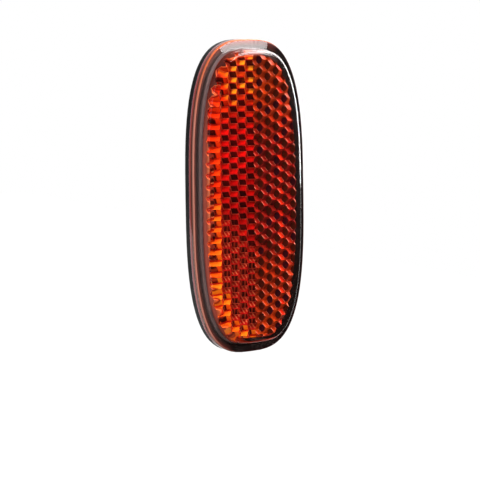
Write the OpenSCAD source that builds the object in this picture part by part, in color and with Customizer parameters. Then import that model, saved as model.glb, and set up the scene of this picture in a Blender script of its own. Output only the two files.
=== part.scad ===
// Mudguard reflector: a clear red prism lens welded to a black shell that a captive M5 bolt holds.
// X is the width, Z the length, and the lens looks along -Y.
// The origin is on the bolt's axis, in the plane of the rib that rests on the mudguard.

/* [Outline] */
// Width of the reflector
body_w = 35; // [30:0.5:45]
// Length of the reflector
body_h = 84; // [70:1:100]
// Squareness of the sides: 2 is an ellipse, more is boxier
side_power = 3; // [2.4:0.1:4]
// Squareness of the ends
end_power = 3.1; // [2.4:0.1:4]

/* [Shell] */
// Height of the seat rib that runs round the shell's back
seat_rise = 2.2; // [1.6:0.1:3]
// Thickness of the seat rib and of the stiffening ribs
rib_t = 1.6; // [1:0.1:2]
// How far the boss stays below the seat rib, so that the nut pulls the rib down hard
boss_gap = 0.3; // [0.1:0.1:0.6]
// Radius of the fixing boss
boss_r = 7; // [6:0.5:9]
// Height of the black wall seen from the side
shell_h = 2.7; // [2.2:0.1:4]
// Thickness of the shell's floor
floor_t = 1.6; // [1.2:0.1:2]
// Radius rounding the shell's back edge
back_round = 1; // [0.4:0.1:1.2]
// Width of the rim that the lens is welded to
rim_w = 2.2; // [1.5:0.1:3]

/* [Lens] */
// Height of the lens's outer wall
flange_h = 2.1; // [1.5:0.1:3]
// Radius rounding the border's front edge
edge_round = 0.4; // [0.2:0.1:0.8]
// Width of the glossy border round the raised window
border_w = 2.5; // [2:0.1:3.5]
// How much the border climbs from its edge to the window
border_rise = 0.5; // [0:0.1:1]
// Height of the window above the border's edge
window_rise = 3.6; // [2.5:0.1:5]
// How far the window's wall leans in on its way up
window_draft = 0.4; // [0.2:0.1:1.5]
// Radius of the window's rounded shoulder
shoulder_r = 1.2; // [0.8:0.1:2]
// Solid plastic between the window's face and the pits of the prisms
front_t = 1.5; // [1:0.1:2]
// Thickness of the lens's wall round the prisms
lens_wall = 1.4; // [0.6:0.1:1.5]

/* [Prisms] */
// Width across the flats of one hexagonal cube-corner prism
pitch = 3; // [2.4:0.1:4]
// Columns of prisms on each side of the middle
columns = 6; // [2:1:6]
// Space kept between the outline and the field of prisms, which runs into the lens's wall
prism_margin = 3.75; // [3.6:0.05:4.2]
// Height of the whole lattice above the middle
row_shift = 0.5; // [0:0.1:1.5]

/* [Fixings] */
// Length of the bolt under its head
bolt_l = 20; // [16:1:25]
// Width across the flats of the bolt's head and the nut
hex_af = 8; // [8:0.5:9]
// Thickness of the bolt's head
head_t = 3.5; // [3:0.1:3.6]
// Plastic between the bolt's head and the face of the boss
boss_t = 1.5; // [1.2:0.1:2]
// Thickness of the nut
nut_t = 4.7; // [4:0.1:5]
// Thickness of the washer
washer_t = 1; // [0.8:0.1:1.2]
// Outside radius of the washer
washer_r = 5; // [4.5:0.5:7]

/* [Hidden] */
// M5 thread: radius over the crests, and radius where a nut's thread meets it
thread_r = 2.5;
pitch_r = 2.24;
bore_r = 2.6;
seat_inset = 3.2; // the seat rib is hidden behind the shell's edge
chamfer = 0.5;
slack = 0.1;

quarter = 22;              // points in a quarter of the outline
y_back = -seat_rise;       // back of the shell
y_boss = -boss_gap;        // face of the boss
y_head = y_boss - boss_t;  // underside of the bolt's head
y_rim = y_back - shell_h;  // where lens and shell meet
y_edge = y_rim - flange_h; // front edge of the border
y_face = y_edge - window_rise;
y_plate = y_face + front_t; // inside of the window, at the pits of the prisms
wall_inset = border_w + window_draft + lens_wall; // inside of the lens's wall

hex_r = pitch / sqrt(3);  // a prism's corner radius
drop = pitch / sqrt(6);   // apex to the near corners of a cube corner; twice that to the far ones
rows = ceil(body_h / pitch) + 2;

// ---- outline ----

function signed_power(v, p) = sign(v) * pow(abs(v), p);

// A point of the superellipse at angle t, moved in along its own normal
function oval_point(t, inset) =
  let (
    a = body_w / 2,
    b = body_h / 2,
    x = a * signed_power(cos(t), 2 / side_power),
    z = b * signed_power(sin(t), 2 / end_power),
    gx = side_power / a * signed_power(x / a, side_power - 1),
    gz = end_power / b * signed_power(z / b, end_power - 1),
    g = norm([gx, gz])
  )
  [x - inset * gx / g, z - inset * gz / g];

function oval(inset) = [for (i = [0:4 * quarter - 1]) oval_point(90 * i / quarter, inset)];

function inside(x, z, inset) =
  pow(abs(x) / (body_w / 2 - inset), side_power) + pow(abs(z) / (body_h / 2 - inset), end_power) <= 1;

// A plate with the outline moved in, from y0 to y1
module oval_plate(inset, y0, y1) {
  translate([0, y1, 0]) rotate([90, 0, 0]) linear_extrude(y1 - y0) polygon(oval(inset));
}

// A solid through rings, each [inset, y], listed from back to front
module oval_loft(rings) {
  n = 4 * quarter;
  points = [for (r = rings) for (p = oval(r[0])) [p[0], r[1], p[1]]];
  sides = [
    for (k = [0:len(rings) - 2]) for (i = [0:n - 1])
      let (a = k * n + i, b = k * n + (i + 1) % n)
      each [[b, a, a + n], [b + n, b, a + n]]
  ];
  back = [for (i = [0:n - 1]) i];
  front = [for (i = [0:n - 1]) len(rings) * n - 1 - i];
  polyhedron(points, concat(sides, [back, front]));
}

// Everything round points along the bolt
module along_y(y) {
  translate([0, y, 0]) rotate([-90, 0, 0]) children();
}

module hex_rod(af, l) {
  cylinder(r = af / sqrt(3), h = l, $fn = 6);
}

// ---- prisms ----
// The lattice is walked in half steps: u along X, v along Z. A prism's middle is at u = 2 + 3k and its
// six corners lie one or two steps away. How deep a corner lies depends only on u, so every facet is flat.

function grid_x(u) = (u - 0.5) * hex_r / 2;
function grid_z(v) = v * pitch / 2 + row_shift;
function facet_y(u) = y_plate + (2 - (u + 1) % 3) * drop;

CORNERS = [[2, 0], [1, 1], [-1, 1], [-2, 0], [-1, -1], [1, -1]];
NEIGHBOURS = [[3, 1], [0, 2], [-3, 1], [-3, -1], [0, -2], [3, -1]];

// A prism is there when a part of it shows inside the lens's wall
function has_prism(u, v) =
  u > 0 && u < 3 * columns
  && max([for (c = CORNERS) inside(grid_x(u + c[0]), grid_z(v + c[1]), wall_inset) ? 1 : 0]) == 1;

// One side's prisms as one block, rooted in the window's plate. stagger moves the columns half a pitch.
module prism_block(stagger) {
  height = 4 * rows + 1;
  points = [
    for (u = [0:3 * columns + 1]) for (v = [-2 * rows:2 * rows])
      each [[grid_x(u), facet_y(u), grid_z(v)], [grid_x(u), y_plate - front_t / 2, grid_z(v)]]
  ];
  function at(u, v, root) = 2 * (u * height + v + 2 * rows) + root;
  prisms = [
    for (k = [0:columns - 1]) for (j = [1 - rows:rows - 1])
      let (u = 2 + 3 * k, v = 2 * j + (k + stagger) % 2)
      if (has_prism(u, v)) [u, v]
  ];
  faces = [
    for (p = prisms)
      let (
        u = p[0], v = p[1],
        tip = at(u, v, 0),
        rim = [for (c = CORNERS) at(u + c[0], v + c[1], 0)],
        root = [for (c = CORNERS) at(u + c[0], v + c[1], 1)]
      )
      each concat(
        [for (i = [0:2:4]) [tip, rim[(i + 5) % 6], rim[i], rim[i + 1]]],
        [[for (i = [0:5]) root[5 - i]]],
        [
          for (i = [0:5])
            if (!has_prism(u + NEIGHBOURS[i][0], v + NEIGHBOURS[i][1]))
              [rim[i], root[i], root[(i + 1) % 6], rim[(i + 1) % 6]]
        ]
      )
  ];
  polyhedron(points, faces);
}

// ---- pieces ----

module lens() {
  base = border_w;
  top = border_w + window_draft;
  y_top = y_face + shoulder_r;
  color([0.78, 0.03, 0.02, 0.6]) {
    difference() {
      oval_loft(concat(
        [[0, y_rim]],
        [for (a = [0:30:90]) [edge_round * (1 - cos(a)), y_edge + edge_round * (1 - sin(a))]],
        [[base - 0.2, y_edge - border_rise + 0.05], [base + 0.15, y_edge - border_rise - 0.2]],
        [for (a = [0:18:90]) [top + shoulder_r * (1 - cos(a)), y_top - shoulder_r * sin(a)]]
      ));
      oval_plate(wall_inset, y_plate - 0.15, y_rim + 1);
      oval_plate(rim_w + slack, y_edge + 1, y_rim + 1);
    }
    intersection() {
      union() {
        prism_block(0);
        mirror([1, 0, 0]) prism_block(1);
      }
      oval_plate(prism_margin, y_face, y_rim);
    }
  }
}

// A stiffening rib across the shell's back, a little lower than the boss: size in [x, z]
module rib(size) {
  h = seat_rise - boss_gap - 0.4;
  translate([0, y_back + h / 2 - 0.25, 0]) cube([size[0], h + 0.5, size[1]], center = true);
}

module housing() {
  color("#1b1b1f") difference() {
    union() {
      difference() {
        oval_loft(concat(
          [for (a = [0:22.5:90]) [back_round * (1 - sin(a)), y_back - back_round * (1 - cos(a))]],
          [[0, y_rim]]
        ));
        oval_plate(rim_w, y_rim - 1, y_back - floor_t);
      }
      // lip that centres the lens
      difference() {
        oval_plate(rim_w + 2 * slack, y_rim - 0.8, y_back - floor_t + 0.5);
        oval_plate(rim_w + 1.3, y_rim - 2, y_back - floor_t);
      }
      // rib that rests on the mudguard
      difference() {
        oval_plate(seat_inset, y_back - 0.5, 0);
        oval_plate(seat_inset + rib_t, y_back - 1, 1);
      }
      // ribs across the back, from the middle of the seat rib on one side to the other
      rib([rib_t, body_h - 2 * seat_inset - rib_t]);
      rib([body_w - 2 * seat_inset - rib_t, rib_t]);
      along_y(y_back - 0.5) cylinder(r = boss_r, h = seat_rise - boss_gap + 0.5, $fn = 96);
      along_y(y_head - head_t) cylinder(r = hex_af / 2 + 2, h = head_t, $fn = 96);
    }
    along_y(y_head - head_t - 1) hex_rod(hex_af + slack, head_t + 1);
    along_y(y_head - 1) cylinder(r = bore_r, h = boss_t + 2, $fn = 96);
  }
}

module bolt() {
  grip = washer_t + nut_t + 0.2; // where the nut's thread meets the bolt's
  color("#b9bcc1") {
    along_y(y_head - head_t) hex_rod(hex_af, head_t);
    along_y(y_head) rotate_extrude($fn = 96) polygon([
      [0, -1], [thread_r, -1], [thread_r, boss_t], [pitch_r, boss_t],
      [pitch_r, boss_t + grip], [thread_r, boss_t + grip],
      [thread_r, bolt_l - chamfer], [thread_r - chamfer, bolt_l], [0, bolt_l]
    ]);
  }
}

module washer() {
  color("#c6c8cc") along_y(y_boss) difference() {
    cylinder(r = washer_r, h = washer_t, $fn = 96);
    translate([0, 0, -1]) cylinder(r = 2.65, h = washer_t + 2, $fn = 96);
  }
}

module nut() {
  color("#bfc2c7") along_y(y_boss + washer_t) difference() {
    intersection() {
      hex_rod(hex_af, nut_t);
      rotate_extrude($fn = 96) polygon([
        [0, 0], [hex_af / 2, 0], [hex_af / sqrt(3), 0.4], [hex_af / sqrt(3), nut_t - 0.4],
        [hex_af / 2, nut_t], [0, nut_t]
      ]);
    }
    translate([0, 0, -1]) cylinder(r = pitch_r + 0.01, h = nut_t + 2, $fn = 96);
  }
}

lens();
housing();
bolt();
washer();
nut();
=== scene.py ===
# %% [markdown]
# # A mudguard reflector
# The part is a clear red prism lens, welded to a black shell, with a captive bolt, a washer and a nut
# behind it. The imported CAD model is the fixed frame, and this lesson gives it its looks.
# Everything is in metres in the CAD's own frame: X is the width, Z the length, and the lens looks along -Y.

import math
import random

import bmesh
import bpy
from mathutils import Matrix, Vector, geometry


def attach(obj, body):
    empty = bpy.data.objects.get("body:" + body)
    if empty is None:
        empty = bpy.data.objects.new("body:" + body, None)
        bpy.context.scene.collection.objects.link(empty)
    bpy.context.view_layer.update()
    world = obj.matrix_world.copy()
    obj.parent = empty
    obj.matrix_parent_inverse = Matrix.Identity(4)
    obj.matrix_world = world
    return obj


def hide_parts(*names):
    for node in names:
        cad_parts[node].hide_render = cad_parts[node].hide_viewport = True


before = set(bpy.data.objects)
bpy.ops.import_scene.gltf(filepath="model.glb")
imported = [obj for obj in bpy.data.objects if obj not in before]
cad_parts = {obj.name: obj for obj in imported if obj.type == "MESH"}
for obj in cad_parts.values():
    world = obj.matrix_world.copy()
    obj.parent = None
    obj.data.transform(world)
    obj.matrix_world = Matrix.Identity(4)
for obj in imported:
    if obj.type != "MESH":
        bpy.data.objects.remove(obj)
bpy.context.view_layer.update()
MM = 0.001

# %% [markdown]
# The camera stands where the photographer stood: to the left of the lens and a little above it. A long lens
# from 0.44 m keeps the part's sides nearly parallel. The place was worked out from the outline, and the small
# shift puts the part where it lies in the frame.

# %% Camera
target = Vector((0, -5.9 * MM, 0))
azimuth, elevation, roll = math.radians(-31.873), math.radians(5.814), math.radians(-0.67)
distance = 0.43886


def towards(az, el):
    """The unit vector that points at azimuth az, counted from -Y towards +X, and elevation el."""
    return Vector((math.sin(az) * math.cos(el), -math.cos(az) * math.cos(el), math.sin(el)))


back = towards(azimuth, elevation)
level = Vector((math.cos(azimuth), math.sin(azimuth), 0))
upright = level.cross(-back)
right = level * math.cos(roll) + upright * math.sin(roll)
up = upright * math.cos(roll) - level * math.sin(roll)

camera_data = bpy.data.cameras.new("camera")
camera_data.lens = 122.8
camera_data.sensor_width = 36
camera_data.shift_x = -0.0158
camera_data.shift_y = -0.0908
camera_data.clip_start = 0.01
camera = bpy.data.objects.new("camera", camera_data)
bpy.context.collection.objects.link(camera)
place = Matrix((right, up, back)).transposed().to_4x4()
place.translation = target + back * distance
camera.matrix_world = place
bpy.context.scene.camera = camera
print("camera at", [round(v, 4) for v in camera.location])

# %% [markdown]
# Three small helpers serve every material. One turns the hex colours of a colour picker to the linear values
# that the renderer counts in. One adds a node, sets its values and links what comes from other nodes. The
# last one starts an empty material.

# %% Helpers for materials


def srgb(code):
    """Linear colour of an sRGB hex code."""
    steps = [int(code[i:i + 2], 16) / 255 for i in (1, 3, 5)]
    return tuple(c / 12.92 if c <= 0.04045 else ((c + 0.055) / 1.055) ** 2.4 for c in steps) + (1.0,)


def add(tree, kind, sockets=None, stops=(), **settings):
    """Adds a node. settings are its properties, and sockets maps an input to a value, a hex colour or an
    output. stops are the (position, hex colour) pairs of a colour ramp, in order."""
    made = tree.nodes.new("ShaderNode" + kind)
    for name, value in settings.items():
        setattr(made, name, value)
    for name, value in (sockets or {}).items():
        if isinstance(value, bpy.types.NodeSocket):
            tree.links.new(value, made.inputs[name])
        else:
            made.inputs[name].default_value = srgb(value) if isinstance(value, str) else value
    if stops:
        steps = made.color_ramp.elements
        steps[0].position, steps[1].position = stops[0][0], stops[-1][0]
        for at, _ in stops[1:-1]:
            steps.new(at)
        for step, (_, code) in zip(steps, stops):
            step.color = srgb(code)
    return made


def new_material(name):
    """An empty material and its node tree."""
    made = bpy.data.materials.new(name)
    made.use_nodes = True
    made.node_tree.nodes.clear()
    return made, made.node_tree


print("mid grey in linear light:", round(srgb("#808080")[0], 3))

# %% [markdown]
# The world is a dark room with a white sheet hung behind the part. The camera sees only white, the glass and
# the metal see the sheet and the room, and matt surfaces get a plain grey from all round.

# %% World
ROOM_GREY, MATT_GREY = 0.02, 0.7
SHEET_FROM, SHEET_FULL = 0.45, 0.8   # cosines of the angle from the direction the camera looks in
world = bpy.data.worlds.new("room")
world.use_nodes = True
tree = world.node_tree
tree.nodes.clear()
ray = add(tree, "LightPath")
direction = add(tree, "TexCoord")
behind = add(tree, "VectorMath", {0: direction.outputs["Generated"], 1: (-back.x, -back.y, 0)},
             operation="DOT_PRODUCT")
room = add(tree, "MapRange", {"Value": behind.outputs["Value"], "From Min": SHEET_FROM,
                              "From Max": SHEET_FULL, "To Min": ROOM_GREY, "To Max": 1.0})
matt = add(tree, "Mix", {0: ray.outputs["Is Diffuse Ray"], 2: room.outputs[0], 3: MATT_GREY},
           data_type="FLOAT")
seen = add(tree, "Mix", {0: ray.outputs["Is Camera Ray"], 2: matt.outputs[0], 3: 1.0}, data_type="FLOAT")
light = add(tree, "Background", {"Color": (1, 1, 1, 1), "Strength": seen.outputs[0]})
add(tree, "OutputWorld", {"Surface": light.outputs[0]})
bpy.context.scene.world = world
print("world nodes:", len(tree.nodes))

# %% [markdown]
# A glossy part is drawn by what it mirrors, so each lamp stands where one highlight asks for it: the key over
# the top border, a strong one above for the upper shoulder, and a wall of light on the right for the white
# line down the window's right side. A weak one on the left keeps the shell's side from going black.

# %% Lamps
AIM = Vector((0, -0.006, 0))   # the middle of the lens


def softbox(name, az, el, away, wide, high, radiance):
    """A rectangular lamp that faces the part. radiance is how bright its face looks, where 1 is white."""
    data = bpy.data.lights.new(name, "AREA")
    data.shape, data.size, data.size_y = "RECTANGLE", wide, high
    data.energy = radiance * math.pi * wide * high
    made = bpy.data.objects.new(name, data)
    bpy.context.collection.objects.link(made)
    spot = towards(math.radians(az), math.radians(el))
    made.location = AIM + spot * away
    made.rotation_euler = spot.to_track_quat("Z", "Y").to_euler()
    made.visible_camera = False


softbox("key", az=30, el=22, away=0.6, wide=0.23, high=0.26, radiance=10)
softbox("top", az=60, el=52, away=0.6, wide=0.50, high=0.24, radiance=14)
softbox("right_wall", az=99, el=27, away=0.62, wide=1.05, high=0.78, radiance=8)
softbox("left_soft", az=-95, el=10, away=0.6, wide=0.40, high=0.40, radiance=0.6)

# %% [markdown]
# The floor lies behind the part and begins past it, so that the glossy lens mirrors little of it. The camera,
# metal and glass see it as plain white, and a tenth of it stays matt paper that takes shadows.

# %% Floor
FLOOR_HALF, FLOOR_MIDDLE = 1.3, (0, 1.75, -0.32)
PLAIN_SHARE, PLAIN_LIGHT = 0.9, 1.1   # together with a tenth of lit paper they make white
floor_mesh = bpy.data.meshes.new("floor")
shape = bmesh.new()
bmesh.ops.create_grid(shape, x_segments=1, y_segments=1, size=FLOOR_HALF,
                      matrix=Matrix.Translation(FLOOR_MIDDLE))
shape.to_mesh(floor_mesh)
shape.free()
floor = bpy.data.objects.new("floor", floor_mesh)
bpy.context.collection.objects.link(floor)

# Uncoated white paper: matt, with a faint unevenness. The patches are 3 mm, coarser than real fibres.
paper, tree = new_material("white_paper")
ray = add(tree, "LightPath")
spot = add(tree, "TexCoord")
fibre = add(tree, "TexNoise", {"Vector": spot.outputs["Object"], "Scale": 300.0, "Detail": 2.0})
tone = add(tree, "Mix", {0: fibre.outputs["Fac"], 6: "#d6d6d6", 7: "#dcdcdc"}, data_type="RGBA")
sheet = add(tree, "BsdfDiffuse", {"Color": tone.outputs[2]})
bright = add(tree, "Emission", {"Color": (1, 1, 1, 1), "Strength": PLAIN_LIGHT})
plain = ray.outputs["Is Camera Ray"]
for kind in ("Is Glossy Ray", "Is Transmission Ray"):
    plain = add(tree, "Math", {0: plain, 1: ray.outputs[kind]}, operation="MAXIMUM").outputs[0]
share = add(tree, "Math", {0: plain, 1: PLAIN_SHARE}, operation="MULTIPLY")
blend = add(tree, "MixShader", {0: share.outputs[0], 1: sheet.outputs[0], 2: bright.outputs[0]})
add(tree, "OutputMaterial", {"Surface": blend.outputs[0]})
floor_mesh.materials.append(paper)
print("floor from and to, along Y in mm:", sorted({round(v.co.y / MM) for v in floor_mesh.vertices}))

# %% [markdown]
# ## The lens
# The lens is injection moulded in one shot: a glossy outside, and the hexagonal cube-corner prisms inside.
# Its outline is a superellipse, squarer than an ellipse, and every step of the outside is that outline moved
# in along its own normal. A scaled copy would be simpler, but its border would be wider at the ends.

# %% Outline
WIDTH, LENGTH = 35 * MM, 84 * MM
SIDE_POWER, END_POWER = 3.0, 3.1
QUARTER = 22   # points in a quarter of the outline
Y_RIM, Y_EDGE, Y_FACE = -4.9 * MM, -7.0 * MM, -10.6 * MM   # the shell's rim, the flange's front, the window
TINY = 1e-12


def outline(inset):
    """The points (x, z) of the part's outline, moved in along its own normal."""
    points = []
    for i in range(4 * QUARTER):
        t = math.pi / 2 * i / QUARTER
        c, s = math.cos(t), math.sin(t)
        x = WIDTH / 2 * math.copysign(abs(c) ** (2 / SIDE_POWER), c) if abs(c) > TINY else 0.0
        z = LENGTH / 2 * math.copysign(abs(s) ** (2 / END_POWER), s) if abs(s) > TINY else 0.0
        gx = SIDE_POWER / (WIDTH / 2) * math.copysign(abs(2 * x / WIDTH) ** (SIDE_POWER - 1), x)
        gz = END_POWER / (LENGTH / 2) * math.copysign(abs(2 * z / LENGTH) ** (END_POWER - 1), z)
        g = math.hypot(gx, gz)
        points.append((x - inset * gx / g, z - inset * gz / g))
    return points


RIM = [Vector(p) for p in outline(0)]


def depth_in(x, z):
    """How far a point lies inside the outline."""
    point = Vector((x, z))
    gaps = []
    for a, b in zip(RIM, RIM[1:] + RIM[:1]):
        share = geometry.intersect_point_line(point, a, b)[1]
        gaps.append((a.lerp(b, min(1, max(0, share))) - point).length)
    return min(gaps)


print("points in the outline:", len(RIM), "middle lies in mm:", round(depth_in(0, 0) / MM, 2))

# %% [markdown]
# The prisms stand in a hexagonal lattice, mirrored about the long axis. Every facet gets its own UV square,
# 0 to 1 between the prism's corners, so that a material can draw along the edges of a facet. For that, the
# prism that a facet belongs to has to be found from the facet's own place.

# %% Lattice of the prisms
PITCH = 3.0 * MM       # across a prism's flats
HEX = PITCH / math.sqrt(3)   # a prism's side
ROW_SHIFT = 0.5 * MM
COLUMNS = 6
Y_PLATE = -9.1 * MM    # the pits between the prisms


def prism_middle(point, side):
    """The middle (x, z) of the prism that a facet belongs to. side is the facet's direction from it."""
    # Facets at 0, 120 and 240 degrees stand in the right half, those at 60, 180 and 300 in the left.
    half = 1 if abs(math.cos(side) - 1) < 0.1 or abs(math.cos(side) + 0.5) < 0.1 else -1
    best = None
    for k in range(COLUMNS):
        x = half * (1.5 + 3 * k) * HEX / 2
        stagger = (k % 2) if half > 0 else ((k + 1) % 2)
        row = (point[1] - ROW_SHIFT) / PITCH - stagger / 2
        z = ROW_SHIFT + (round(row) + stagger / 2) * PITCH
        for zz in (z, z - PITCH, z + PITCH):
            middle = (x + HEX / 2 * math.cos(side), zz + HEX / 2 * math.sin(side))
            gap = math.hypot(middle[0] - point[0], middle[1] - point[1])
            if best is None or gap < best[0]:
                best = (gap, x, zz)
    return best[1:]


print("the first prism on the right stands at, in mm:", [round(v / MM, 2) for v in prism_middle((HEX, 0), 0)])

# %% [markdown]
# The inside is the CAD's own: a copy of the lens node is merged, its facets are sorted by the way they face,
# and the outside is taken off, because the next cell draws a finer one.

# %% Inside of the lens, from a copy of the CAD node
SLOTS = ["acrylic", "weld", "dark_left", "bright_left", "side_left",
         "dark_right", "high_right", "low_right", "wall", "edge"]
BY_SIDE = {60: "dark_left", 300: "bright_left", 180: "side_left",
           0: "dark_right", 120: "high_right", 240: "low_right"}
TILT = 1 / math.sqrt(3)   # the part of a facet's normal that lies along the cube corner's axis
WELDED = 1e-6             # points closer than this are one point


def inside_outline(point, share):
    """Whether a point lies within that share of the superellipse."""
    return abs(2 * point.x / WIDTH) ** SIDE_POWER + abs(2 * point.z / LENGTH) ** END_POWER < share


shape = bmesh.new()
shape.from_mesh(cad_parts["lens"].data)
bmesh.ops.remove_doubles(shape, verts=shape.verts, dist=WELDED)
bmesh.ops.dissolve_limit(shape, angle_limit=math.radians(0.4), verts=[], edges=shape.edges)
uv = shape.loops.layers.uv.new("facet")
dice_layer = shape.faces.layers.float.new("dice")
near_layer = shape.faces.layers.float.new("near")
inset_layer = shape.verts.layers.float.new("inset")
number_layer = shape.verts.layers.int.new("number")
tally = {}
outside = []
for face in shape.faces:
    n, c = face.normal, face.calc_center_median()
    kind = None
    # A prism's facet leans as a cube corner's does, and lies between the pits and the shell's rim.
    if abs(n.y - TILT) < 0.02 and Y_PLATE - 0.2 * MM < c.y < -6.5 * MM:
        side = math.atan2(n.z, n.x)
        kind = BY_SIDE[round(math.degrees(side) / 60) * 60 % 360]
        x, z = prism_middle((c.x, c.z), side)
        e1 = Vector((math.cos(side - math.pi / 3), math.sin(side - math.pi / 3))) * HEX
        e2 = Vector((math.cos(side + math.pi / 3), math.sin(side + math.pi / 3))) * HEX
        det = e1.x * e2.y - e1.y * e2.x
        for loop in face.loops:
            p = Vector((loop.vert.co.x - x, loop.vert.co.z - z))
            loop[uv].uv = ((p.x * e2.y - p.y * e2.x) / det, (e1.x * p.y - e1.y * p.x) / det)
        # The facets of one prism draw the same number, because its place is the seed.
        face[dice_layer] = random.Random(round(x / MM * 100) * 7919 + round(z / MM * 100)).random()
        face[near_layer] = depth_in(x, z) / MM
    # What else doesn't face the front there is the wall round the prisms, or the ledge at its foot.
    elif n.y > -0.02 and c.y < Y_RIM - 0.1 * MM and inside_outline(c, 0.9):
        kind = "wall"
    if kind is None:
        outside.append(face)
        continue
    face.material_index = SLOTS.index(kind)
    face.smooth = False
    tally[kind] = tally.get(kind, 0) + 1
bmesh.ops.delete(shape, geom=outside, context="FACES")
for vert in shape.verts:
    vert[inset_layer] = depth_in(vert.co.x, vert.co.z) / MM
print("faces by kind:", tally)

# %% [markdown]
# The outside is one skin. Its section is a list of steps, each an inset from the outline, a place along Y and
# the material between it and the step before: from the weld line round the flange's rounded edge, over the
# border, up the window's wall and round its shoulder.

# %% Section of the outside
ROUND = 0.4 * MM       # the flange's rounded front edge
SHOULDER = 1.2 * MM
WELD_IN, WALL_IN, FACE_IN = 2.3, 2.9, 4.3   # insets in mm: where the weld ends, the wall's top, the flat face
Y_WELD = Y_RIM - 0.02 * MM   # a hair inside, so that the lens and the shell don't share a plane
SLOPE = 0.2            # the border rises by this much for each mm inwards


def quarter_round(inset, front, radius, step, kind):
    """Steps round a corner that starts upright at the inset and ends flat at front, one each step degrees."""
    return [(inset + radius * (1 - math.cos(a)), front + radius * (1 - math.sin(a)), kind)
            for a in map(math.radians, range(step, 91, step))]


section = [(WELD_IN * MM, Y_RIM, "weld")]
section += [(inset * MM, Y_WELD, "weld") for inset in (2.2, 1.6, 1.1, 0.5, 0)]
section += [(0, Y_EDGE + ROUND, "acrylic")] + quarter_round(0, Y_EDGE, ROUND, 15, "edge")
section += [(inset * MM, Y_EDGE - (inset * MM - ROUND) * SLOPE, "acrylic") for inset in (0.6, 2.1, 2.3)]
fillet = ((2.45, 0.44), (2.55, 0.52), (2.61, 0.65), (2.64, 0.85))   # insets and heights in mm
section += [(inset * MM, Y_EDGE - height * MM, "acrylic") for inset, height in fillet]
section += [((WALL_IN - 0.02) * MM, Y_FACE + SHOULDER + 0.3 * MM, "acrylic")]
section += [(WALL_IN * MM, Y_FACE + SHOULDER, "acrylic")]
section += quarter_round(WALL_IN * MM, Y_FACE, SHOULDER, 5, "acrylic")
section += [(FACE_IN * MM, Y_FACE, "acrylic")]
print("steps in the section:", len(section))

# %% [markdown]
# A first ring of edges is pulled out along the section, one extrusion for each step, and the window is closed
# with one flat face. Faces made this way can point either way, so each is turned by where it lies.

# %% Outside of the lens
ring = bmesh.ops.create_circle(shape, segments=4 * QUARTER, radius=1)["verts"]
for number, (vert, (x, z)) in enumerate(zip(ring, outline(section[0][0]))):
    vert.co = (x, section[0][1], z)
    vert[number_layer], vert[inset_layer] = number, WELD_IN
edges = list({e for v in ring for e in v.link_edges})
for inset, y, kind in section[1:]:
    made = bmesh.ops.extrude_edge_only(shape, edges=edges)["geom"]
    points = outline(inset)
    for item in made:
        if isinstance(item, bmesh.types.BMVert):
            x, z = points[item[number_layer]]
            item.co = (x, y, z)
            item[inset_layer] = inset / MM
        elif isinstance(item, bmesh.types.BMFace):
            item.material_index, item.smooth = SLOTS.index(kind), True
    edges = [item for item in made if isinstance(item, bmesh.types.BMEdge)]
for face in bmesh.ops.contextual_create(shape, geom=edges)["faces"]:
    face.material_index, face.smooth = SLOTS.index("acrylic"), True
bmesh.ops.remove_doubles(shape, verts=shape.verts, dist=2 * WELDED)
shape.normal_update()
skin = [f for f in shape.faces if f.smooth]
for face in skin:
    c = face.calc_center_median()
    front = 1 if face.material_index == SLOTS.index("weld") else -1
    if face.normal.dot(Vector((c.x, 0, c.z)).normalized() * 0.3 + Vector((0, front, 0))) < 0:
        face.normal_flip()
shape.normal_update()
print("faces in the skin:", len(skin), "open edges:", len([e for e in shape.edges if len(e.link_faces) != 2]))

# %% [markdown]
# The skin and the prisms are one closed piece that stands in for the CAD's lens. Old normals that came with
# the CAD's mesh are dropped, and edges that turn sharply stay crisp.

# %% The lens object


def new_piece(name, shape, sharp):
    """Turns a finished bmesh into an object. Edges that turn by more than sharp degrees stay crisp."""
    mesh = bpy.data.meshes.new(name)
    shape.to_mesh(mesh)
    shape.free()
    for old in [a.name for a in mesh.attributes if a.name == "custom_normal"]:
        mesh.attributes.remove(mesh.attributes[old])
    mesh.set_sharp_from_angle(angle=math.radians(sharp))
    made = bpy.data.objects.new(name, mesh)
    bpy.context.collection.objects.link(made)
    return made


lens = new_piece("lens_clear", shape, 40)
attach(lens, "root")
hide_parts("lens")
print("lens faces:", len(lens.data.polygons))

# %% [markdown]
# The lens is clear red acrylic, and a real refracting skin bends the view as it does. Light that falls on the
# prisms goes straight through the skin: that keeps the picture free of noise, and the facets behind it carry
# painted light, the colours that the real prisms pick up from the room.

# %% Clear red acrylic
# Injection moulded in a polished mould: a wet gloss, with depth behind it and a warm tint where it is thick.
acrylic, tree = new_material("clear_red_acrylic")
ray = add(tree, "LightPath")
glass = add(tree, "BsdfPrincipled", {"Base Color": (1, 1, 1, 1), "Roughness": 0.02, "IOR": 1.49,
                                     "Transmission Weight": 1.0})
lets = add(tree, "Math", {0: ray.outputs["Is Shadow Ray"], 1: ray.outputs["Is Diffuse Ray"]},
           operation="MAXIMUM")
hole = add(tree, "BsdfTransparent")
surface = add(tree, "MixShader", {0: lets.outputs[0], 1: glass.outputs[0], 2: hole.outputs[0]})
tint = add(tree, "VolumeAbsorption", {"Color": (1.0, 0.35, 0.2, 1), "Density": 90.0})
add(tree, "OutputMaterial", {"Surface": surface.outputs[0], "Volume": tint.outputs[0]})
finished = {"acrylic": acrylic}
print("acrylic, IOR:", round(glass.inputs["IOR"].default_value, 2))

# %% [markdown]
# Each facet is painted with what a prism at that place sends back, so the materials need a few masks: where a
# point lies across the part, how far it lies inside the outline, and which side the light falls on. Paint then
# goes on in coats, each where its masks let it through.

# %% Masks and coats


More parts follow.
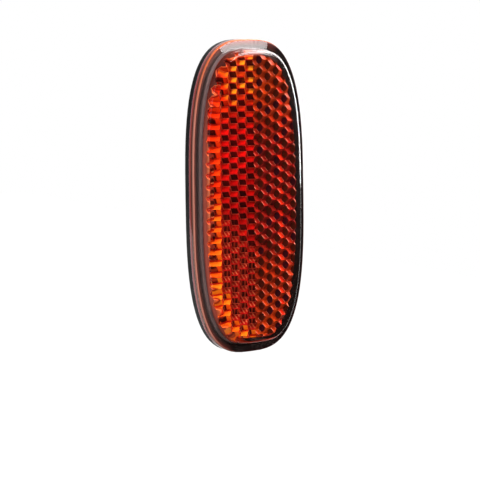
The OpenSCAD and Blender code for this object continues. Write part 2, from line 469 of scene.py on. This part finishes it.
def rising(tree, x, z, start, end):
    """0 to 1 across the part: the distance along the direction (x, z), from start to end in mm."""
    spot = add(tree, "TexCoord")
    far = add(tree, "VectorMath", {0: spot.outputs["Object"], 1: (x / MM, 0, z / MM)},
              operation="DOT_PRODUCT")
    return add(tree, "MapRange", {"Value": far.outputs["Value"], "From Min": start, "From Max": end}).outputs[0]


def inward(tree, start, end):
    """0 to 1 from one inset to another, in mm inside the outline."""
    inset = add(tree, "Attribute", attribute_name="inset").outputs["Fac"]
    return add(tree, "MapRange", {"Value": inset, "From Min": start, "From Max": end}).outputs[0]


def lit_side(tree):
    """1 on the left and the top, where the painted glow on the edges of the lens lies, and 0 on the right and
    the bottom.
    """
    return rising(tree, -1 / (WIDTH / 2 / MM), 0.44 / (LENGTH / 2 / MM), -0.15, 0.38)


def paint(tree, colour, *layers):
    """Lays coats over a colour. A layer is one or more masks and then its own colour."""
    for *masks, coat in layers:
        share = masks[0]
        for mask in masks[1:]:
            share = add(tree, "Math", {0: share, 1: mask}, operation="MULTIPLY").outputs[0]
        colour = add(tree, "Mix", {0: share, 6: colour, 7: coat}, data_type="RGBA").outputs[2]
    return colour


def finish(name, tree, made, colour, roughness=0.3):
    """Ends a material with a plain plastic skin of the given colour."""
    skin = add(tree, "BsdfPrincipled", {"Base Color": colour, "Roughness": roughness,
                                        "Specular IOR Level": 0.15})
    add(tree, "OutputMaterial", {"Surface": skin.outputs[0]})
    finished[name] = made
    print("finished", made.name, "with nodes:", len(tree.nodes))


print("half of the part in mm, which lit_side runs over:", round(WIDTH / 2 / MM, 2), round(LENGTH / 2 / MM, 2))

# %% [markdown]
# The flange's edge and the window's wall are painted with the light they pipe: a pink and orange glow on the
# lit side, painted dark on the other. Between them the shell's rim is painted grey through the flange, a
# painted reflection.

# %% Weld line and rounded edge
# Acrylic and ABS melted together in a matt ridge, painted with light: a grey reflection, and pink where the
# edge's light reaches it.
made, tree = new_material("weld_line_painted_light")
lit = add(tree, "ValToRGB", {0: inward(tree, 0.0, WELD_IN)}, stops=[
    (0.0, "#907078"), (0.2, "#805058"), (0.4, "#904840"),
    (0.55, "#70443c"), (0.8, "#5c4c4a"), (1.0, "#585452")])
finish("weld", tree, made, paint(tree, "#0a0505", (lit_side(tree), lit.outputs[0])))

# The flange's rounded edge, polished by the mould, with a painted highlight: a soft pink line, more orange at
# the top, on the lit side only.
made, tree = new_material("lens_edge")
lit = paint(tree, "#b87868", (rising(tree, 0, 1, 20, 36), "#c86440"))
finish("edge", tree, made, paint(tree, "#2a0606", (lit_side(tree), lit)), 0.2)

# %% [markdown]
# The wall round the prisms is seen through the border. Its painted colour follows its depth, because each level
# sends back another part of the room: a painted grey reflection at the ledge on the shell's rim, pink above it,
# and orange at the top.

# %% Wall of the window
# Moulded acrylic, seen from inside, painted with light and shade: bands that follow the outline, bright on the
# lit side, dark on the other.
WALL_FOOT, WALL_HEAD = -6.0 * MM, -9.3 * MM
made, tree = new_material("lens_wall")
spot = add(tree, "TexCoord")
depth = add(tree, "SeparateXYZ", {0: spot.outputs["Object"]}).outputs["Y"]
height = add(tree, "MapRange", {"Value": depth, "From Min": WALL_FOOT, "From Max": WALL_HEAD}).outputs[0]
on_ledge = add(tree, "MapRange", {"Value": height, "From Min": 0.03, "From Max": 0.01}).outputs[0]
# painted grey reflection on the ledge at the wall's foot
ledge = add(tree, "ValToRGB", {0: inward(tree, WELD_IN, FACE_IN)}, stops=[
    (0.0, "#686466"), (0.55, "#646066"), (0.8, "#8a5c58"), (1.0, "#986058")])
lit = add(tree, "ValToRGB", {0: height}, stops=[
    (0.0, "#a86458"), (0.3, "#c87464"), (0.55, "#b85c48"),
    (0.7, "#c86848"), (0.82, "#ff9058"), (0.95, "#ff8848")])
dim = add(tree, "ValToRGB", {0: height}, stops=[
    (0.0, "#0a0505"), (0.4, "#200604"), (0.62, "#701808"), (0.8, "#c83818")])
lit = paint(tree, lit.outputs[0],
            # painted shade: the top of the lit side is duller
            (rising(tree, -0.2, 1, 16, 34), "#5c3028"),    # the top is duller
            (on_ledge, ledge.outputs[0]))
dim = paint(tree, dim.outputs[0],
            # painted glow at the bottom of the unlit side
            (rising(tree, 0.2, -1, 33, 37), inward(tree, 3.3, 4.0), "#b83a18"))    # the bottom glows
finish("wall", tree, made, paint(tree, dim, (lit_side(tree), lit)))

# %% [markdown]
# A cube corner sends back the light of whatever stands behind the camera, so one set of facets looks black
# while its neighbours glow. That light is painted on the facets: black squares between vivid red ones on the
# left half, and rounded dark diamonds crossed by thin pale highlights on the right half. Towards the top the
# painted red turns to orange.
# These helpers read the facet's own UV square and the number that each prism drew.

# %% What the facets share
STREAK_PITCH = 0.87                    # in mm, half the side of a prism
PATCHES, WIDE_PATCHES = 640.0, 160.0   # to the metre: 1.6 mm and 6 mm, half a prism and two of them


def in_facet(tree):
    """The place in a facet's square, u and v, each 0 to 1."""
    place = add(tree, "SeparateXYZ", {0: add(tree, "UVMap", uv_map="facet").outputs[0]})
    return place.outputs["X"], place.outputs["Y"]


def band(tree, value, low, high, soft):
    """1 between low and high, 0 outside."""
    up_side = add(tree, "MapRange", {"Value": value, "From Min": low - soft, "From Max": low + soft})
    down_side = add(tree, "MapRange", {"Value": value, "From Min": high + soft, "From Max": high - soft})
    return add(tree, "Math", {0: up_side.outputs[0], 1: down_side.outputs[0]}, operation="MULTIPLY").outputs[0]


def mottled(tree, dark, light):
    """dark to light by prism, with soft patches smaller and larger than a prism."""
    spot = add(tree, "TexCoord")
    total = add(tree, "Attribute", attribute_name="dice").outputs["Fac"]
    for scale in (PATCHES, WIDE_PATCHES):
        patch = add(tree, "TexNoise", {"Vector": spot.outputs["Object"], "Scale": scale, "Detail": 1.0})
        total = add(tree, "Math", {0: total, 1: patch.outputs["Fac"]}, operation="ADD").outputs[0]
    part = add(tree, "MapRange", {"Value": total, "From Min": 0.8, "From Max": 2.1}).outputs[0]
    return paint(tree, dark, (part, light))


def drawn(tree, above):
    """1 on the prisms whose second draw, 0 to 1, is above the value."""
    dice = add(tree, "Attribute", attribute_name="dice").outputs["Fac"]
    spread = add(tree, "Math", {0: dice, 1: 57.3}, operation="MULTIPLY")
    second = add(tree, "Math", {0: spread.outputs[0]}, operation="FRACT")
    return add(tree, "Math", {0: second.outputs[0], 1: above}, operation="GREATER_THAN").outputs[0]


print("prism's side in mm:", round(HEX / MM, 2))

# %% [markdown]
# The left half is painted as a chequer of black and vivid red, the light its prisms send back. Its first column
# has a painted orange glow, and its lower corner is crossed by thin slanting lines of painted light, the edges
# of prisms seen through other prisms. Beside the window's wall, a painted bright line and a painted dark one
# stand for what the wall throws on the facets.

# %% Places on the left half
# AMBER is a painted glint that some upper prisms on the left send back.
AMBER = "#ffa820"


def lower_left(tree):
    """0 to 1 towards the lower left corner of the window."""
    return rising(tree, -0.745, -0.667, 8, 13)


def first_column(tree):
    """1 on the prisms beside the window's left wall and round its lower left corner."""
    near = add(tree, "Attribute", attribute_name="near").outputs["Fac"]
    place = add(tree, "Math", {0: rising(tree, -1, 0, 7, 9), 1: rising(tree, 0, -1, 20, 24)},
                operation="MAXIMUM").outputs[0]
    return add(tree, "Math", {0: band(tree, near, 3.0, 7.2, 0.1), 1: place}, operation="MULTIPLY").outputs[0]


def column_glow(tree):
    """The painted orange glow of the first column, yellower below the middle."""
    return paint(tree, mottled(tree, "#e8300a", "#f84c10"),
                 (rising(tree, 0, -1, -2, 4), mottled(tree, "#ff5a10", "#ffa020")))


def streaks(tree):
    """Thin slanting lines, half the side of a prism apart."""
    spot = add(tree, "TexCoord")
    across = add(tree, "VectorMath", {0: spot.outputs["Object"], 1: (0.96 / MM, 0, 0.28 / MM)},
                 operation="DOT_PRODUCT").outputs["Value"]
    turns = add(tree, "Math", {0: across, 1: 2 * math.pi / STREAK_PITCH}, operation="MULTIPLY").outputs[0]
    wave = add(tree, "Math", {0: turns}, operation="SINE").outputs[0]
    return add(tree, "MapRange", {"Value": wave, "From Min": 0.1, "From Max": 0.8}).outputs[0]


def rim_lines(tree, colour):
    """The painted bright line and painted dark one that the window's wall throws on the facets on the lit side.
    """
    lines = add(tree, "ValToRGB", {0: inward(tree, 4.0, 5.6)}, stops=[
        (0.0, "#f08048"), (0.30, "#e87040"), (0.40, "#901808"), (1.0, "#901808")])
    return paint(tree, colour, (inward(tree, 4.95, 4.7), lit_side(tree), lines.outputs[0]))


print("streaks apart in mm:", round(STREAK_PITCH, 2))

# %% [markdown]
# Each prism has three facets. On the left half one of them is bright, one is black and one lies between.

# %% Facets of the left half
# Bright facets, mirror smooth: a painted reflection in vivid red, orange at the top, painted shade at the
# bottom, and a painted highlight as a thin pale line at one edge.
made, tree = new_material("facet_bright_left")
u, v = in_facet(tree)
column = paint(tree, column_glow(tree), (band(tree, v, -0.2, 0.05, 0.03), "#a01c08"))
column = paint(tree, mottled(tree, "#a81408", "#d83010"), (band(tree, u, 0.3, 1.2, 0.05), column))
colour = paint(tree, mottled(tree, "#a40808", "#e41410"),
               (rising(tree, 0, 1, 18, 32), mottled(tree, "#882008", "#e84c10")),
               (rising(tree, -0.3, 1, 24, 30), drawn(tree, 0.45), band(tree, v, 0.35, 1.2, 0.1), AMBER),
               (rising(tree, 0, -1, -14, 16), mottled(tree, "#700806", "#b81008")),
               (lower_left(tree), mottled(tree, "#5a0a06", "#a01208")),
               (lower_left(tree), streaks(tree), mottled(tree, "#6a2818", "#d87850")),
               (band(tree, u, 0.8, 1.2, 0.1), mottled(tree, "#800a0a", "#a81010")),
               (band(tree, u, 0.05, 0.12, 0.03), "#e06048"),
               (first_column(tree), column))
finish("bright_left", tree, made, rim_lines(tree, colour))

# Dark facets, which look into the black shell: painted shade, nearly black, with a painted orange glow in the
# first column and a painted pale highlight at one edge.
made, tree = new_material("facet_dark_left")
u, v = in_facet(tree)
column = paint(tree, column_glow(tree), (band(tree, v, 0.93, 1.2, 0.04), "#a01c08"))
colour = paint(tree, mottled(tree, "#280808", "#541210"),
               (lower_left(tree), streaks(tree), "#a84428"),
               (first_column(tree), band(tree, u, 0.38, 1.2, 0.05), column),
               (band(tree, u, -0.2, 0.07, 0.04), "#e07058"))
finish("dark_left", tree, made, rim_lines(tree, colour))

# Side facets: painted deep red, more orange at the top, with a painted dark square under a painted pale
# crescent in the first column.
made, tree = new_material("facet_side_left")
u, v = in_facet(tree)
first = first_column(tree)
colour = paint(tree, mottled(tree, "#6a0806", "#8a0e08"),
               (rising(tree, 0, 1, 18, 32), "#8a3008"),
               (first, mottled(tree, "#801008", "#a01a0a")),
               (first, band(tree, u, -0.2, 0.75, 0.05), band(tree, v, -0.2, 0.36, 0.03), "#200806"),
               (first, band(tree, u, -0.2, 0.72, 0.04), band(tree, v, 0.36, 0.47, 0.03), "#d88858"))
finish("side_left", tree, made, rim_lines(tree, colour))

# %% [markdown]
# The right half is seen more squarely, and its light is painted: brown blobs with rounded corners, and pale
# broken highlights between them. Its colours turn from wine red in the middle to an orange glow at both ends of
# the window.

# %% Facets of the right half
# PALE is the colour of the painted highlights on the edges of the lower facets.
PALE = "#f09880"


def ends(tree):
    """0 to 1 towards the top and the bottom of the window."""
    return add(tree, "Math", {0: rising(tree, 0, 1, 14, 30), 1: rising(tree, 0, -1, 10, 30)},
               operation="ADD").outputs[0]


# Dark facets: a painted brown blob, plum on a few prisms, in a red square that turns orange at the ends. Its
# corners look round through the skin.
made, tree = new_material("facet_dark_right")
u, v = in_facet(tree)
from_middle = [add(tree, "Math", {0: side, 1: 0.5}, operation="SUBTRACT").outputs[0] for side in (u, v)]
off = add(tree, "CombineXYZ", dict(enumerate(from_middle)))
far = add(tree, "VectorMath", {0: off.outputs[0]}, operation="LENGTH").outputs["Value"]
blob = add(tree, "MapRange", {"Value": far, "From Min": 0.56, "From Max": 0.43}).outputs[0]
colour = paint(tree, mottled(tree, "#781420", "#b82c24"),
               (ends(tree), mottled(tree, "#902c14", "#d05814")),
               (blob, paint(tree, "#4a2012", (drawn(tree, 0.75), "#381420"))))
finish("dark_right", tree, made, colour)

# Upper facets: painted dark red, the ground that the lines stand on, with a painted orange glow at the ends.
made, tree = new_material("facet_high_right")
finish("high_right", tree, made, paint(tree, mottled(tree, "#40100c", "#6c1a12"),
                                       (ends(tree), mottled(tree, "#5c1c0c", "#a84010"))))

# Lower facets: painted red, brighter in one column, with the thin pale painted highlights that seven prisms in
# ten catch.
made, tree = new_material("facet_low_right")
u, v = in_facet(tree)
bright_column = [rising(tree, 1, 0, 7.2, 8.0), rising(tree, 1, 0, 9.8, 9.0)]
lines = add(tree, "Math", {0: band(tree, u, -0.2, 0.06, 0.03), 1: band(tree, u, 0.94, 1.2, 0.03)},
            operation="ADD").outputs[0]
colour = paint(tree, mottled(tree, "#60100a", "#901810"),
               (ends(tree), mottled(tree, "#60180a", "#a83c0c")),
               (*bright_column, mottled(tree, "#98180a", "#c02c10")),
               (lines, drawn(tree, 0.3), band(tree, v, 0.15, 0.8, 0.05), PALE))
finish("low_right", tree, made, colour)

for name in SLOTS:
    lens.data.materials.append(finished[name])
print("lens materials:", [m.name for m in lens.data.materials])

# %% [markdown]
# The bolt's thread is M5, rolled at 0.8 mm a turn, and the CAD leaves it plain. One turn of its profile is spun
# about the bolt's axis, climbing as it goes, then cut off square above the nut and at the tip.

# %% Thread of the bolt
THREAD, ROOT, CREST, TURNS, STEPS = 0.8 * MM, 2.05 * MM, 2.48 * MM, 17, 24
SPIN_FROM, THREAD_FROM, THREAD_TO = 4.4 * MM, 5.6 * MM, 17.7 * MM
CHAMFER, TIP_SHARE = 0.49 * MM, 0.8   # the chamfer's length, and what it leaves of the radius
PROFILE = ((ROOT, 0), (CREST, 0.42), (CREST, 0.54), (ROOT, 0.96), (ROOT, 1))   # radius, part of a turn


def cut(made, y, away):
    """Takes off what lies past the plane at y, on the side that away points to, and closes the hole."""
    everything = made.verts[:] + made.edges[:] + made.faces[:]
    left = bmesh.ops.bisect_plane(made, geom=everything, dist=1e-8, plane_co=(0, y, 0),
                                  plane_no=(0, away, 0), clear_outer=True)
    rim = [e for e in left["geom_cut"] if isinstance(e, bmesh.types.BMEdge)]
    return bmesh.ops.contextual_create(made, geom=rim)["faces"]


thread = bmesh.new()
profile = [thread.verts.new((r, SPIN_FROM + part * THREAD, 0)) for r, part in PROFILE]
lines = [thread.edges.new(pair) for pair in zip(profile, profile[1:])]
bmesh.ops.spin(thread, geom=profile + lines, axis=(0, 1, 0), cent=(0, 0, 0), dvec=(0, THREAD / STEPS, 0),
               angle=2 * math.pi * TURNS, steps=TURNS * STEPS)
bmesh.ops.remove_doubles(thread, verts=thread.verts, dist=WELDED)
cut(thread, THREAD_FROM, -1)
end = cut(thread, THREAD_TO, 1)
tip = bmesh.ops.extrude_face_region(thread, geom=end)["geom"]
bmesh.ops.delete(thread, geom=end, context="FACES_ONLY")
tip = [v for v in tip if isinstance(v, bmesh.types.BMVert)]
bmesh.ops.translate(thread, verts=tip, vec=(0, CHAMFER, 0))
bmesh.ops.scale(thread, verts=tip, vec=(TIP_SHARE, 1, TIP_SHARE))
bmesh.ops.recalc_face_normals(thread, faces=thread.faces)
print("thread faces:", len(thread.faces))

# %% [markdown]
# The head and the plain shank are the CAD's own, from a merged copy that is cut off just past the start of the
# thread. The two parts overlap by a tenth of a millimetre, so no gap can show between them.

# %% The bolt object
whole = bmesh.new()
whole.from_mesh(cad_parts["bolt"].data)
bmesh.ops.remove_doubles(whole, verts=whole.verts, dist=WELDED)
cut(whole, THREAD_FROM + 0.1 * MM, 1)
bmesh.ops.recalc_face_normals(whole, faces=whole.faces)
turned = bpy.data.meshes.new("turned")
thread.to_mesh(turned)
thread.free()
whole.from_mesh(turned)
bpy.data.meshes.remove(turned)
print("bolt faces:", len(whole.faces), "open edges:", len([e for e in whole.edges if len(e.link_faces) != 2]))
bolt = new_piece("bolt_threaded", whole, 30)
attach(bolt, "root")
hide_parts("bolt")

# %% [markdown]
# The shell is black ABS with the faint grain of a mould. The bolt, washer and nut are steel with bright zinc,
# which lies on the metal in soft patches about a millimetre across.

# %% Black shell
# Moulded ABS: a soft satin black. Its grain is 0.11 mm, and the flow of the plastic leaves patches of 4 mm.
shell, tree = new_material("black_abs")
spot = add(tree, "TexCoord")
grain = add(tree, "TexNoise", {"Vector": spot.outputs["Object"], "Scale": 9000.0, "Detail": 2.0})
bump = add(tree, "Bump", {"Strength": 0.15, "Distance": 0.02 * MM, "Height": grain.outputs["Fac"]})
sheen = add(tree, "TexNoise", {"Vector": spot.outputs["Object"], "Scale": 250.0, "Detail": 2.0})
rough = add(tree, "MapRange", {"Value": sheen.outputs["Fac"], "From Min": 0.3, "From Max": 0.7,
                               "To Min": 0.42, "To Max": 0.54})
colour = paint(tree, "#08080a", (sheen.outputs["Fac"], "#101012"))
skin = add(tree, "BsdfPrincipled", {"Base Color": colour, "Roughness": rough.outputs[0], "IOR": 1.54,
                                    "Specular IOR Level": 0.2, "Normal": bump.outputs[0]})
add(tree, "OutputMaterial", {"Surface": skin.outputs[0]})
print("black shell, IOR:", round(skin.inputs["IOR"].default_value, 2))

# %% [markdown]
# Zinc is plated on and then brightened, so the steel under it hardly shows. The patches change its gloss more
# than its colour, and the fine pits are left from the rolled wire.

# %% Zinc plated steel
# Bright zinc: a cool metal with a cloudy gloss. Its patches are 1.1 mm and its pits 0.17 mm.
zinc, tree = new_material("zinc_plated_steel")
spot = add(tree, "TexCoord")
patch = add(tree, "TexNoise", {"Vector": spot.outputs["Object"], "Scale": 900.0, "Detail": 3.0})
rough = add(tree, "MapRange", {"Value": patch.outputs["Fac"], "From Min": 0.3, "From Max": 0.7,
                               "To Min": 0.24, "To Max": 0.42})
pits = add(tree, "TexNoise", {"Vector": spot.outputs["Object"], "Scale": 6000.0, "Detail": 2.0})
bump = add(tree, "Bump", {"Strength": 0.2, "Distance": 0.02 * MM, "Height": pits.outputs["Fac"]})
colour = paint(tree, "#b4bac2", (patch.outputs["Fac"], "#d6d4cc"))
skin = add(tree, "BsdfPrincipled", {"Base Color": colour, "Roughness": rough.outputs[0],
                                    "Metallic": 1.0, "Normal": bump.outputs[0]})
add(tree, "OutputMaterial", {"Surface": skin.outputs[0]})
bolt.data.materials.clear()
bolt.data.materials.append(zinc)
for name, material in {"housing": shell, "bolt": zinc, "washer": zinc, "nut": zinc}.items():
    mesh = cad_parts[name].data
    for i in range(len(mesh.materials)):
        mesh.materials[i] = material
print("materials in the scene:", len(bpy.data.materials))

# %% [markdown]
# The colours are kept as painted.

# %% Finish
bpy.context.scene.view_settings.view_transform = "Standard"
